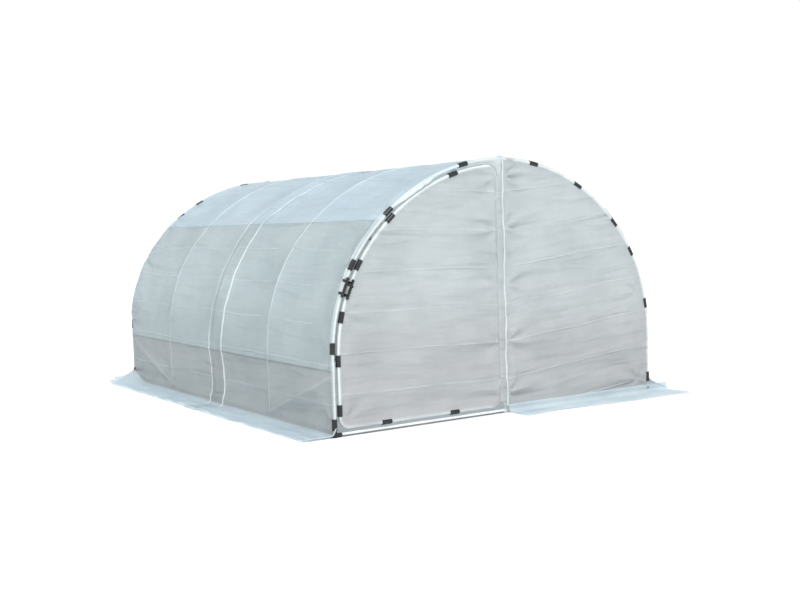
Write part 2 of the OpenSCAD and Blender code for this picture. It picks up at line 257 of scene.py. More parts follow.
def add(tree, kind, inputs=None, **settings):
    """Adds a node. inputs maps a socket's name or number to a value, or to a socket to link from."""
    made = tree.nodes.new(kind)
    for key, value in settings.items():
        setattr(made, key, value)
    for key, value in (inputs or {}).items():
        if isinstance(value, bpy.types.NodeSocket):
            tree.links.new(value, made.inputs[key])
        else:
            made.inputs[key].default_value = value
    return made


def new_material(name):
    """An empty node material and its tree."""
    made = bpy.data.materials.new(name)
    made.use_nodes = True
    made.node_tree.nodes.clear()
    return made, made.node_tree


def ramp(tree, factor, stops):
    """A colour ramp over factor. stops are (place, hex colour)."""
    made = add(tree, "ShaderNodeValToRGB", {0: factor})
    elements = made.color_ramp.elements
    while len(elements) < len(stops):
        elements.new(0.5)
    for element, (place, code) in zip(elements, stops):
        element.position = place
        element.color = rgb(code)
    return made.outputs["Color"]


THREAD = 0.009      # the real reinforcing threads are about 2 mm apart, drawn coarser so that they show
PACK_STEP = 0.285   # the film was folded to about this width in its box
FILM_ROUGH = 0.42
POLYETHYLENE_IOR = 1.51
SLACK_BUMP = 9      # height of slack folds in the film's bump, as a multiple of the old folds' height


def film_material(name, tones, see_through, glow, pleat=0.0):
    """Reinforced polyethylene film: milky, satin, with a woven grid of threads pressed in it.

    The stops are (place, light, dark) colours along a vertex value that paints light and shade into the film's
    colour.
    Where the whitening vertex value is 1 the film lies on a white tube or on more film and looks whiter and
    closed;
    part of that whitening is painted highlight. pleat is the height in metres of the sharp old folds, which run
    along the cut's second direction; it also turns on a painted highlight along each fold.
    """
    made, tree = new_material(name)
    cut = add(tree, "ShaderNodeUVMap", uv_map="cut").outputs["UV"]
    across = add(tree, "ShaderNodeSeparateXYZ", {0: cut}).outputs
    place = add(tree, "ShaderNodeTexCoord").outputs["Object"]
    touch = add(tree, "ShaderNodeAttribute", attribute_name="touch").outputs["Fac"]
    tone = add(tree, "ShaderNodeAttribute", attribute_name="tone").outputs["Fac"]
    threads = []
    for axis in ("X", "Y"):
        step = add(tree, "ShaderNodeMath", {0: across[axis], 1: THREAD / 2}, operation="PINGPONG")
        line = add(tree, "ShaderNodeMapRange", {0: step.outputs[0], 1: 0.0, 2: THREAD * 0.2, 3: 1.0, 4: 0.0})
        threads.append(line.outputs[0])
    weave = add(tree, "ShaderNodeMath", {0: threads[0], 1: threads[1]}, operation="MAXIMUM").outputs[0]
    cloud = add(tree, "ShaderNodeTexNoise", {"Vector": place, "Scale": 2.4, "Detail": 4.0, "Roughness": 0.6})
    crumple = add(tree, "ShaderNodeTexNoise", {"Vector": place, "Scale": 30.0, "Detail": 5.0, "Roughness": 0.6})
    # The colour follows a vertex value of painted light and shade, then clouds at random between two close
    # shades.
    light = ramp(tree, tone, [(stop, a) for stop, a, _ in tones])
    dark = ramp(tree, tone, [(stop, b) for stop, _, b in tones])
    fair = add(tree, "ShaderNodeMapRange", {0: cloud.outputs["Fac"], 1: 0.34, 2: 0.66}).outputs[0]
    colour = add(tree, "ShaderNodeMix", {0: fair, 6: dark, 7: light}, data_type="RGBA").outputs[2]
    whiter = add(tree, "ShaderNodeMath", {0: weave, 1: 0.10}, operation="MULTIPLY").outputs[0]
    patchy = add(tree, "ShaderNodeMapRange", {0: cloud.outputs["Fac"], 1: 0.30, 2: 0.55, 3: 0.62}).outputs[0]
    # Whitening where film lies in layers or on tubes, part of it painted highlight, in patches.
    patchy_layers_and_highlight = add(tree, "ShaderNodeMath", {0: touch, 1: patchy}, operation="MULTIPLY").outputs[0]
    whiter = add(tree, "ShaderNodeMath", {0: whiter, 1: patchy_layers_and_highlight}, operation="MAXIMUM").outputs[0]
    if pleat:
        wander = add(tree, "ShaderNodeTexNoise", {"Vector": place, "Scale": 1.1, "Detail": 1.0})
        shifted = add(tree, "ShaderNodeMath", {0: wander.outputs["Fac"], 1: 0.05, 2: across["X"]},
                      operation="MULTIPLY_ADD")
        near = add(tree, "ShaderNodeMath", {0: shifted.outputs[0], 1: PACK_STEP / 2}, operation="PINGPONG")
        ridge = add(tree, "ShaderNodeMapRange", {0: near.outputs[0], 1: 0.0, 2: 0.012, 3: 1.0, 4: 0.0},
                    interpolation_type="SMOOTHSTEP")
        long = add(tree, "ShaderNodeVectorMath", {0: cut, 1: (9.0, 1.3, 1.0)}, operation="MULTIPLY")
        slack = add(tree, "ShaderNodeTexNoise", {
            "Vector": long.outputs[0], "Scale": 1.0, "Detail": 2.5, "Roughness": 0.5, "Distortion": 0.4})
        here = add(tree, "ShaderNodeTexNoise", {"Vector": place, "Scale": 3.1, "Detail": 2.0})
        shown = add(tree, "ShaderNodeMapRange", {0: here.outputs["Fac"], 1: 0.38, 2: 0.60, 3: 0.15}).outputs[0]
        fades = add(tree, "ShaderNodeMath", {0: ridge.outputs[0], 1: shown}, operation="MULTIPLY").outputs[0]
        # Painted highlight: the old folds' ridges are drawn whiter in patches.
        wear_and_crease_highlight = add(tree, "ShaderNodeMath", {0: fades, 1: 0.30}, operation="MULTIPLY").outputs[0]
        whiter = add(tree, "ShaderNodeMath", {0: whiter, 1: wear_and_crease_highlight}, operation="MAXIMUM").outputs[0]
    tinted = add(tree, "ShaderNodeMix", {0: whiter, 6: colour, 7: rgb("#F3F8F8")}, data_type="RGBA").outputs[2]
    fine = add(tree, "ShaderNodeMath", {0: weave, 1: 0.25, 2: crumple.outputs["Fac"]}, operation="MULTIPLY_ADD")
    bump = add(tree, "ShaderNodeBump", {"Strength": 0.3, "Distance": 0.0022, "Height": fine.outputs[0]})
    if pleat:
        bump = add(tree, "ShaderNodeBump", {"Strength": 1.0, "Distance": pleat, "Height": fades,
                                            "Normal": bump.outputs[0]})
        bump = add(tree, "ShaderNodeBump", {"Strength": 1.0, "Distance": pleat * SLACK_BUMP,
                                            "Height": slack.outputs["Fac"], "Normal": bump.outputs[0]})
    rougher = add(tree, "ShaderNodeMapRange", {
        0: crumple.outputs["Fac"], 1: 0.3, 2: 0.7, 3: FILM_ROUGH - 0.07, 4: FILM_ROUGH + 0.1})
    sheet = add(tree, "ShaderNodeBsdfPrincipled", {
        "Base Color": tinted, "Roughness": rougher.outputs[0], "IOR": POLYETHYLENE_IOR,
        "Normal": bump.outputs[0]})
    back = add(tree, "ShaderNodeBsdfTranslucent", {"Color": tinted, "Normal": bump.outputs[0]})
    milky = add(tree, "ShaderNodeMixShader", {0: glow, 1: sheet.outputs[0], 2: back.outputs[0]})
    clear = add(tree, "ShaderNodeBsdfTransparent", {"Color": rgb("#F2F7F8")})
    closed = add(tree, "ShaderNodeMapRange", {0: touch, 3: see_through, 4: 0.0}).outputs[0]
    both = add(tree, "ShaderNodeMixShader", {0: closed, 1: milky.outputs[0], 2: clear.outputs[0]})
    add(tree, "ShaderNodeOutputMaterial", {0: both.outputs[0]})
    return made


GRAIN = 90.0        # size of the surface grain of solid finishes, in noise cells per metre


def solid_material(name, light, dark, rough, bump_mm, coat=0.0, wear_and_crease_highlight=None, painted_underside_shade=None):
    """An opaque finish: two close shades clouded together, a fine surface grain and uneven gloss.

    worn is the colour of scuffs; the last colour darkens what lies within 2 cm of the ground, as painted shade
    underneath.
    """
    made, tree = new_material(name)
    place = add(tree, "ShaderNodeTexCoord").outputs["Object"]
    cloud = add(tree, "ShaderNodeTexNoise", {"Vector": place, "Scale": 5.0, "Detail": 6.0, "Roughness": 0.65})
    fine = add(tree, "ShaderNodeTexNoise", {"Vector": place, "Scale": GRAIN, "Detail": 4.0, "Roughness": 0.6})
    colour = ramp(tree, cloud.outputs["Fac"], [(0.35, dark), (0.65, light)])
    if wear_and_crease_highlight:
        scuff = add(tree, "ShaderNodeMapRange", {0: fine.outputs["Fac"], 1: 0.62, 2: 0.78, 3: 0.0, 4: 0.7})
        colour = add(tree, "ShaderNodeMix", {0: scuff.outputs[0], 6: colour, 7: rgb(wear_and_crease_highlight)},
                     data_type="RGBA").outputs[2]
    # Painted shade underneath: what lies within 2 cm of the ground is darkened.
    if painted_underside_shade:
        height = add(tree, "ShaderNodeSeparateXYZ", {0: place}).outputs["Z"]
        low = add(tree, "ShaderNodeMapRange", {0: height, 1: 0.010, 2: 0.019, 3: 0.9, 4: 0.0}).outputs[0]
        colour = add(tree, "ShaderNodeMix", {0: low, 6: colour, 7: rgb(painted_underside_shade)}, data_type="RGBA").outputs[2]
    uneven = add(tree, "ShaderNodeMapRange", {
        0: fine.outputs["Fac"], 1: 0.3, 2: 0.7, 3: rough - 0.06, 4: rough + 0.08})
    bump = add(tree, "ShaderNodeBump", {
        "Strength": 0.5, "Distance": bump_mm / 1000, "Height": fine.outputs["Fac"]})
    surface = add(tree, "ShaderNodeBsdfPrincipled", {
        "Base Color": colour, "Roughness": uneven.outputs[0], "Coat Weight": coat, "Normal": bump.outputs[0]})
    add(tree, "ShaderNodeOutputMaterial", {0: surface.outputs[0]})
    return made


# Reinforced polyethylene film: milky. Its colour round the arch is painted light: a painted sky reflection
# makes the roof and the skirt bluer, painted shade makes the sides greyer and the walls below the lower purlins
# darker, and thin painted shadow lines mark the purlins.
COVER = film_material("reinforced polyethylene film",
                      [(0.0, "#CFDEE6", "#C1D2DB"), (0.22, "#B4C2C8", "#A9B8BF"), (0.45, "#C5D0D1", "#B8C4C6"),
                       (0.62, "#98A2A2", "#8F9999"), (0.8, "#B4B8B8", "#A8ADAD"), (1.0, "#CEDCE3", "#C4D3DB")],
                      see_through=0.07, glow=0.36, pleat=0.0040)
# The same film on the ends, in one layer and a neutral grey, drawn darker towards the bottom as painted shade.
END = film_material("reinforced polyethylene end film",
                    [(0.0, "#CACECE", "#BCC1C1"), (1.0, "#C1C1C1", "#B4B4B4")],
                    see_through=0.06, glow=0.34, pleat=0.0040)
# Folded and welded edges: two or three layers, so nearly white and barely clear.
HEM = film_material("welded film hem", [(0.0, "#E6EFF0", "#D6E0E2"), (1.0, "#E6EFF0", "#D6E0E2")],
                    see_through=0.02, glow=0.28)
# Powder-coated steel tube: near-white satin paint with a faint orange peel.
TUBE = solid_material("powder-coated steel tube", "#F1F4F2", "#E2E7E4", rough=0.34, bump_mm=0.08, coat=0.25)
# The same tube where it lies on the ground: its underside is painted darker, as shade.
RAIL = solid_material("base rail with painted shade underneath", "#E9ECEA", "#D2D6D3", rough=0.42, bump_mm=0.12, coat=0.1,
                      painted_underside_shade="#4C5050")
# Moulded nylon sleeves in light grey, matt.
SLEEVE = solid_material("moulded grey nylon", "#C9CDCB", "#B9BEBC", rough=0.5, bump_mm=0.12)
# Moulded black plastic clips: satin, with pale scuffs along the ribs.
CLIP = solid_material("moulded black plastic clip", "#16191A", "#0C0E0F", rough=0.38, bump_mm=0.12, coat=0.15,
                      wear_and_crease_highlight="#3A3F40")
# Glass-filled black nylon of the corner feet: duller and a little dusty.
CORNER = solid_material("glass-filled black nylon", "#1F2223", "#141617", rough=0.55, bump_mm=0.2,
                        wear_and_crease_highlight="#4A4E4C")


def finish(piece, material, body="root"):
    """Gives a new piece its material and body."""
    piece.data.materials.clear()
    piece.data.materials.append(material)
    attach(piece, body)
    return piece


def paint_frame():
    """Puts the finishes on the CAD nodes that stay."""
    by_slot = {"frame_steel": TUBE, "fitting_plastic": SLEEVE, "corner_plastic": CORNER,
               "clip_plastic": CLIP, "latch_plastic": CLIP}
    for entry in frame["record"]["subparts"]:
        material = RAIL if "rail" in entry["node"] else by_slot.get(entry["material_slot"])
        if material:
            node = frame["nodes"][entry["node"]]
            node.data.materials.clear()
            node.data.materials.append(material)


# ---- the cover ----

def bay_shape(y):
    """0 at each arch and 1 in the middle of a bay, as a parabola between the arches."""
    t = np.mod((y + HALF_L) / BAY, 1.0)
    return np.clip(1 - (2 * t - 1) ** 2, 0, 1) ** 0.85


def panel_shape(s):
    """0 at the ridge, purlins and floor, 1 half way between them along the arch."""
    s = np.abs(s)
    edges = [0.0, UPPER_S, LOWER_S, FOOT_S]
    total = np.zeros_like(s)
    for a, b in zip(edges[:-1], edges[1:]):
        t = np.clip((s - a) / (b - a), 0, 1)
        total = np.where((s >= a) & (s < b), 4 * t * (1 - t), total)
    return total


def over_tube(d, radius):
    """Lowest depth of film over a tube, d metres from the tube's middle. It follows the tube's round."""
    inside = np.sqrt(np.maximum(radius ** 2 - d ** 2, 0)) - radius
    return np.where(np.abs(d) < radius, inside, -1.0)


def valley(x, step):
    """0 at each multiple of step and -1 half way between, with a kink at each multiple."""
    return -np.sin(math.pi * np.mod(x / step, 1.0)) ** 0.85


def rays(along, across, count, turn, reach):
    """Folds that fan out from a pinched point: count waves round it, dying away over reach."""
    away = np.hypot(along, across)
    return np.cos(np.arctan2(across, along) * count + turn) * np.exp(-away / reach) * smooth(away, 0.0, 0.06)


def brace_distance(s, y):
    """Distance on the wall from the middle of the corner brace, which climbs to the end arch."""
    climb = np.clip((HALF_L - TUBE_R - np.abs(y)) / (BAY - 2 * TUBE_R), 0, 1)
    return np.abs(FOOT_S - np.abs(s) - BRACE_TOP + (BRACE_TOP - BRACE_LOW) * climb) * 0.93


PINCHED = (1.11, 1.59, 2.19, 2.72)      # clips that pull the cover, from the ridge along an end arch


def cover_offset(s, y, seed, radius):
    """How far the film stands off the arches' outer side, in metres, at s round and y along.

    Between two arches and two purlins it dips from the arch towards the straight line, most in
    the middle. Between the old pack folds it hangs in shallow valleys, the clips of the end arches
    pull slanting folds in it, and it never dips below the tubes it lies on.
    """
    up = np.abs(s)
    bay, panel = bay_shape(y), panel_shape(s)
    dip = np.where(up < UPPER_S, 0.046, np.where(up < LOWER_S, 0.050, 0.040))
    depth = -dip * bay * panel
    loose = 0.3 + 0.7 * bay
    drift = 0.016 * np.sin(y * 2.1 + seed) + 0.007 * np.sin(y * 7.3 + 2 * seed)
    depth = depth + 0.0065 * valley(s + drift, PACK_STEP) * loose
    depth = depth + 0.0034 * ripple(s, y, seed, 9, 0.34, 1.5) * loose
    depth = depth + 0.0014 * ripple(s, y, seed + 1, 9, 0.13, 0.5) * loose
    for k, clip in enumerate(PINCHED):
        for end in (-HALF_L, HALF_L):
            depth = depth + 0.017 * rays(np.abs(y - end), up - clip, 5, 1.7 * k + seed, 0.34)
    arch_d = y - BAY * np.round(y / BAY)
    depth = np.where(np.abs(arch_d) < 0.002, np.maximum(depth, 0), depth)
    over_brace = 0.010 - radius - 0.3 * np.maximum(brace_distance(s, y) - 0.016, 0)
    depth = np.maximum(depth, np.where(np.abs(y) > HALF_L - BAY, over_brace, -1))
    for place in (0.0, UPPER_S, LOWER_S, FOOT_S - 0.03):
        near = smooth(0.062 - np.abs(arch_d), 0, 0.01) * smooth(0.062 - np.abs(up - place), 0, 0.01)
        near = near * SLEEVE_RISE
        depth = np.maximum(depth, over_tube(arch_d, radius + SLEEVE_RISE) + near)
        if place < FOOT_S - 0.1:
            depth = np.maximum(depth, over_tube(up - place, radius + SLEEVE_RISE) + near)
    over_rail = smooth(up, FOOT_S - 0.12, FOOT_S - 0.04)
    depth = depth + (np.maximum(depth, 0) - depth) * over_rail
    return depth + TIP_H * np.exp(-(s / TIP_W) ** 2 - ((np.abs(y) - HALF_L) / TIP_L) ** 2)


def corner_lift(s, y):
    """How far the skirt stands up off the floor by the right front and left rear feet, held by a clip."""
    along = smooth(-y * np.sign(s), HALF_L - 0.32, HALF_L)
    up = np.abs(s)
    rise = smooth(up, FOOT_S - 0.14, FOOT_S - 0.01) * (1 - np.clip((up - FOOT_S) / SKIRT_W, 0, 1))
    return CORNER_LIFT * along * rise


def cover_point(s, y, seed, layer=1):
    """Point of a cover sheet at s round (negative on the left) and y along."""
    up = np.abs(s)
    radius = TUBE_R + layer * FILM
    x, z, nx, nz = cover_path(up, radius)
    ground = smooth(up, FOOT_S - 0.09, FOOT_S + 0.03)
    off = cover_offset(s, y, seed, radius) * (1 - ground)
    flat = smooth(up, FOOT_S + 0.03, FOOT_S + 0.12)
    ruffle = 0.0055 * (1 + ripple(y, up, seed + 2, 6, 0.6, 0.5)) * flat
    edge = 0.009 * ripple(y, 0 * y, seed + 3, 5, 1.3, 1.0) * smooth(up, FOOT_S + 0.05, FOOT_S + 0.24)
    x = x + off * nx + edge
    z = z + off * nz + np.maximum(ruffle, 0) * ground + 0.0012 * ground + layer * 0.0006
    return np.sign(s) * x, z + corner_lift(s, y)


CLOSE = (-0.017, -0.012, -0.007, 0, 0.007, 0.012, 0.017)     # grid lines about a tube or a hem
COVER_STEP_S, COVER_STEP_Y = 0.0145, 0.019                  # grid of a cover sheet


def lines(a, b, step, marks=()):
    """Grid lines about step apart from a to b, with close ones about each mark."""
    base = np.linspace(a, b, round((b - a) / step) + 1)
    near = np.array([m + d for m in marks for d in CLOSE])
    near = near[(near > a + 0.003) & (near < b - 0.003)]
    far = np.ones(len(base), bool)
    if len(near):
        far = np.abs(base[:, None] - near[None]).min(1) > 0.005
    far[[0, -1]] = True
    return np.unique(np.concatenate([base[far], near]))


def cover_lines():
    """Grid lines round the cover, from one skirt's edge to the other's, close at the purlins and the floor."""
    half = lines(1e-6, EDGE_S, COVER_STEP_S, (UPPER_S, LOWER_S, FOOT_S - 0.012))
    return np.concatenate([-half[::-1], half])


def cover_touch(s, y):
    """How much whiter the cover looks, from 0 to 1: most on the hems of the lap and the skirt, where the film
    lies in layers.

    It is less on arches and braces, which whiten the film over them, with painted highlight on the arches
    fading down the sides, and least on the middle arch, under the lap. A painted highlight lies along the fold
    at the floor.
    """
    arch_d = np.abs(y - BAY * np.round(y / BAY))
    rib = 0.62 * (1 - smooth(arch_d, 0.006, 0.012)) * (0.5 + 0.5 * (1 - smooth(np.abs(s), 1.7, 2.1)))
    rib = np.where(np.abs(y) < BAY / 4, 0.35 * rib, rib)
    rib = rib * (1 - smooth(np.abs(s), FOOT_S - 0.08, FOOT_S - 0.04))
    brace = 0.2 * (1 - smooth(brace_distance(s, y), 0.006, 0.018)) * (np.abs(y) > HALF_L - BAY)
    hem = smooth(HEM_W / 2 + 0.003 - np.abs(np.abs(y) - LAP + HEM_W / 2), 0, 0.004)
    edge = smooth(np.abs(s), FOOT_S + SKIRT_W + 0.005, FOOT_S + SKIRT_W + 0.02)
    # Painted highlight along the fold where the cover turns onto the floor.
    turn = 0.3 * crease(np.abs(s), FOOT_S - 0.012, 0.010)
    return np.maximum.reduce([rib, hem, 0.8 * edge, brace, turn])


def cover_tone(s):
    """Painted light round the cover: 0 on the roof, bluer as painted sky reflection; 0.45 on the sides and 0.8
    on the walls below the lower purlins, greyer and darker as painted shade that deepens towards the lower
    purlins; 1 on the skirt, bluer again as if lit from above. The steps at the purlins pass through painted
    shadow lines.
    """
    up = np.abs(s)
    skirt = smooth(up, FOOT_S - 0.030, FOOT_S + 0.005)
    side = smooth(up, UPPER_S - 0.008, UPPER_S + 0.008)
    lower = smooth(up, LOWER_S - 0.6, LOWER_S)
    wall = smooth(up, LOWER_S - 0.004, LOWER_S + 0.018)
    return 0.45 * side + 0.05 * lower + 0.3 * wall + 0.2 * skirt


def cover_sheet(name, y0, y1, seed, layer, end):
    """Half of the cover: one sheet from skirt to skirt over the arches, from y0 to y1.

    At its end arch, on the side that end gives, it goes round the outside of the tube to its end face.
    """
    s = cover_lines()
    marks = [BAY * k for k in range(-2, 3)] + [-LAP, LAP]
    y = lines(y0, y1, COVER_STEP_Y, marks)
    S, Y = np.meshgrid(s, y, indexing="ij")
    X, Z = cover_point(S, Y, seed, layer)
    points = np.stack([X, Y, Z], -1)
    cut = np.stack([S, Y], -1)
    touch = cover_touch(S, Y)
    turned = wrap_round(s, end, layer, seed)
    strip_y = end * (HALF_L + np.linspace(0.004, 0.06, turned.shape[1]))
    strip = np.stack(np.meshgrid(s, strip_y, indexing="ij"), -1)
    bright = np.broadcast_to(crown(np.linspace(9, 150, turned.shape[1])), turned.shape[:2])
    sheets = [(turned[:, ::-1], strip[:, ::-1], bright), (points, cut, touch)]
    if end > 0:
        sheets = [(points, cut, touch), (turned, strip, bright)]
    points, cut, touch = (np.concatenate([sheet[k] for sheet in sheets], 1) for k in range(3))
    # Painted light and shade round the cover, as a vertex value.
    tone = np.broadcast_to(cover_tone(s)[:, None], points.shape[:2])
    return grid_piece(name, points, cut, flip=True, touch=touch, tone=tone)


def crown(angle):
    """How white film looks round a tube, angle degrees from its rim: partly from lying on the white tube, and a
    painted highlight that peaks where it faces out of the end.
    """
    return 0.2 + 0.75 * np.exp(-((angle - 72) / 30) ** 2)


def wrap_round(s, end, layer, seed):
    """The film's turn round an end arch: from the tube's top over its end face, fading out at the floor."""
    up = np.abs(s)
    x, z, nx, nz = cover_path(up, 0.0)
    ground = smooth(up, FOOT_S - 0.10, FOOT_S - 0.01)
    reach = 150 + 14 * ripple(up, 0 * up, seed + 5, 5, 0.35, 1.0)
    t = np.linspace(0.06, 1.0, 12)[None, :]
    phi = np.radians(np.clip(reach, 120, 175))[:, None] * t * (1 - ground[:, None])
    sleeve = sum(smooth(0.052 - np.abs(up - place), 0, 0.012) for place in (0.0, UPPER_S, LOWER_S))
    r = (TUBE_R + layer * FILM + 0.0004 + SLEEVE_RISE * sleeve)[:, None]
    tip = TIP_H * np.exp(-(s / TIP_W) ** 2)[:, None] * np.exp(-(phi / 1.3) ** 2)
    e = r * np.sin(phi) + 0.022 * t * ground[:, None]
    n = r * np.cos(phi) + tip
    px = np.sign(s)[:, None] * (x[:, None] + n * nx[:, None])
    pz = z[:, None] + n * nz[:, None] + 0.0012 * ground[:, None] + layer * 0.0006
    pz = pz + corner_lift(s, np.full_like(s, end * HALF_L))[:, None]
    py = end * (HALF_L + e)
    return np.stack([px, py, np.maximum(pz, 0.0012)], -1)


def build_cover():
    """Front and rear sheets, which lap over the middle arch with the rear one outside."""
    front = cover_sheet("cover_front_sheet", -HALF_L, LAP, 11, 1, -1)
    rear = cover_sheet("cover_rear_sheet", -LAP, HALF_L, 23, 3, 1)
    finish(front, COVER)
    finish(rear, COVER)
    # Each sheet covers both sides: the front one stands for the left CAD solids, the rear one for the right.
    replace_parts(front, "cover_wall_left", "cover_side_left", "cover_roof_left", "skirt_left")
    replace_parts(rear, "cover_wall_right", "cover_side_right", "cover_roof_right", "skirt_right")
    s = cover_lines()
    for name, y, seed, layer in (("hem_lap_front", -LAP, 23, 3), ("hem_lap_rear", LAP, 11, 1)):
        S, W = np.meshgrid(s, np.sign(-y) * np.linspace(0, HEM_W, 4), indexing="ij")
        X, Z = cover_point(S, y + W, seed, layer + 0.6)
        hem = grid_piece(name, np.stack([X, y + W, Z], -1), np.stack([S, W], -1), flip=y < 0,
                         touch=1.0, tone=0.0)
        finish(hem, HEM)


# ---- the end panels ----

def right_loop(gap, x0, z0):
    """Centre line round the right half of an end: up the post, along the arch and back at the bottom."""
    s = np.linspace(0, FOOT_S - z0, 400)
    x, z, _, _ = arch_path(s, -gap)
    keep = x > x0
    bottom = [[HALF_W - gap, z0], [x0, z0]]
    return np.concatenate([[[x0, z0]], [[x0, z[keep][0]]], np.stack([x[keep], z[keep]], -1), bottom])


def door_loop():
    """Centre line of the door's tube, seen from the front with the stile at +STILE_X."""
    corner_x, toe_x = STILE_X + DOOR_CORNER_R, HALF_W - DOOR_GAP - DOOR_TOE_R
    top = TOP_R - DOOR_GAP
    corner_z = TOP_Z + math.sqrt((top - DOOR_CORNER_R) ** 2 - corner_x ** 2)
    corner_a = math.degrees(math.atan2(corner_z - TOP_Z, corner_x))
    return np.concatenate([
        arc(corner_x, DOOR_Z + DOOR_CORNER_R, DOOR_CORNER_R, 270, 180),
        arc(corner_x, corner_z, DOOR_CORNER_R, 180, corner_a),
        arc(0, TOP_Z, top, corner_a, math.degrees(JOIN_A), 90),
        arc(SIDE_X, LEG_H, SIDE_R - DOOR_GAP, math.degrees(JOIN_A), 0, 70),
        arc(toe_x, DOOR_Z + DOOR_TOE_R, DOOR_TOE_R, 0, -90)])


def outward(loop):
    """Unit directions pointing out of a clockwise loop of (x, z) points."""
    along = np.roll(loop, -1, 0) - np.roll(loop, 1, 0)
    along /= np.linalg.norm(along, axis=1)[:, None]
    return np.stack([-along[:, 1], along[:, 0]], -1)


TIES = (0.15, 0.54, 0.98, 1.41, 1.80)   # heights where the film is tied to the centre post
TIE_REACH = (0.24, 0.22, 0.16, 0.16, 0.18)


def end_folds(x, z, seed, rise):
    """Folds of an end panel in metres: slack, level pack folds, and rays from the ties and the corners.

    rise tilts the slack folds, so that they climb away from the post.
    """
    lean = z - rise * x
    depth = 0.0048 * ripple(lean, x, seed, 9, 0.30, 1.6) + 0.0020 * ripple(lean, x, seed + 1, 9, 0.10, 0.7)
    drift = 0.010 * np.sin(3 * x + seed)
    depth = depth + 0.0110 * valley(lean + drift, PACK_STEP) * smooth(x, 0.0, 0.2)
    for k, (tie, reach) in enumerate(zip(TIES, TIE_REACH)):
        depth = depth + 0.022 * rays(0.5 * x, z - tie - 0.06 * x, 4.6 + 0.4 * k, 1.3 * k + seed, reach)
    depth = depth + 0.015 * rays(0.6 * (HALF_W - 0.1 - x), z - 0.12, 5, seed, 0.24)
    return depth + 0.009 * rays(0.6 * (HALF_W - 0.1 - x), z - 0.85, 5, 0.6, 0.30)


PANEL_STEP, PANEL_BULGE = 0.0125, 0.006


def end_panel(name, loop, y, side, seed, body, wrap, rise, layer=1):
    """A film panel stretched over a loop of tubes, its edge turned round them.

    loop is clockwise as seen from the front at +X. side is -1 to mirror it to the left. wrap gives,
    for each loop point, how far the film goes round the tube, from LEAVE_A at its inner side
    down to that angle. The middle is a polar grid about the loop's centre.
    """
    line = even(np.concatenate([loop, loop[:1]]), PANEL_STEP)[:-1]
    normal = outward(line)
    blur = sum(np.roll(normal, k, 0) for k in range(-2, 3))
    normal = blur / np.linalg.norm(blur, axis=1)[:, None]
    centre = (line.min(0) + line.max(0)) / 2
    radius = TUBE_R + layer * FILM
    leave = math.radians(LEAVE_A)
    inner = line + normal * radius * math.cos(leave)
    reach = np.linalg.norm(inner - centre, axis=1).max()
    rho = np.linspace(0, 1, round(reach / PANEL_STEP))[:, None, None]
    flat = centre + (inner - centre) * rho
    x, z = flat[..., 0], flat[..., 1]
    rim = np.linalg.norm(inner - centre, axis=1)[None] * (1 - rho[..., 0])
    lift = 0.004 + (radius * math.sin(leave) - 0.004) * np.exp(-rim / 0.03)
    slack = smooth(rim, 0.0, 0.12)
    out = lift + (end_folds(x, z, seed, rise) + PANEL_BULGE) * slack
    body_points = np.stack([x, out, z], -1)
    end = np.radians(wrap(line))[:, None]
    t = np.linspace(0, 1, 13)[1:]
    phi = leave + (end - leave) * t[None]
    ring = line[:, None] + normal[:, None] * (radius * np.cos(phi))[..., None]
    edge = np.stack([ring[..., 0], radius * np.sin(phi), ring[..., 1]], -1).transpose(1, 0, 2)
    points = np.concatenate([body_points, edge])
    cut = np.stack([points[..., 2] - rise * points[..., 0], points[..., 0]], -1)
    by_post, by_floor = 1 - smooth(line[:, 0], 0.09, 0.14), 1 - smooth(line[:, 1], 0.10, 0.16)
    bright = np.clip(1 - 0.85 * by_post - 0.45 * by_floor, 0, 1)
    # Whiter where the film lies on the tubes, less by the post and the floor; round the tube the painted
    # highlight of crown peaks where it faces out.
    hem = (0.35 * (1 - smooth(rim, 0.010, 0.016)) + 0.5 * (1 - smooth(rim, 0.0, 0.004))) * bright
    touch = np.concatenate([hem, crown(np.degrees(phi.T)) * bright])
    # Painted shade: the end film is drawn darker towards the bottom.
    tone = 1 - smooth(points[..., 2], 0.35, 1.1)
    facing = -1 if y < 0 else 1
    points = np.stack([side * points[..., 0], y + facing * points[..., 1], points[..., 2]], -1)
    piece = grid_piece(name, points, cut, around=True, flip=side * facing > 0, touch=touch, tone=tone)
    weld(piece)
    return finish(piece, END, body)


# Where an end film stops round each tube, in degrees: 90 faces out of the end, 0 away from the panel's middle.
POST_END_A, RAIL_END_A, ARCH_END_A, DOOR_END_A = 40.0, 60.0, -45.0, -70.0


def build_ends():
    """The fixed film in the front, both halves of the rear and the door's film."""
    def fixed_wrap(line):
        by_post, by_floor = line[:, 0] < 0.02, line[:, 1] < RAIL_Z + 0.02
        return np.where(by_post, POST_END_A, np.where(by_floor, RAIL_END_A, ARCH_END_A))

    loop = right_loop(0.0, 0.0, RAIL_Z)
    front = end_panel("end_front_fixed", loop, -HALF_L, 1, 31, "root", fixed_wrap, 0.10, layer=3)
    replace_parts(front, "front_film")
    rear_a = end_panel("end_rear_right", loop, HALF_L, 1, 47, "root", fixed_wrap, 0.06, layer=3)
    rear_b = end_panel("end_rear_left", loop, HALF_L, -1, 53, "root", fixed_wrap, 0.06, layer=3)
    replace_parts(rear_a, "rear_film")
    door = end_panel("door_sheet", door_loop(), -HALF_L, -1, 61, "door",
                     lambda line: np.full(len(line), DOOR_END_A), 0.02)
    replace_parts(door, "door_film")


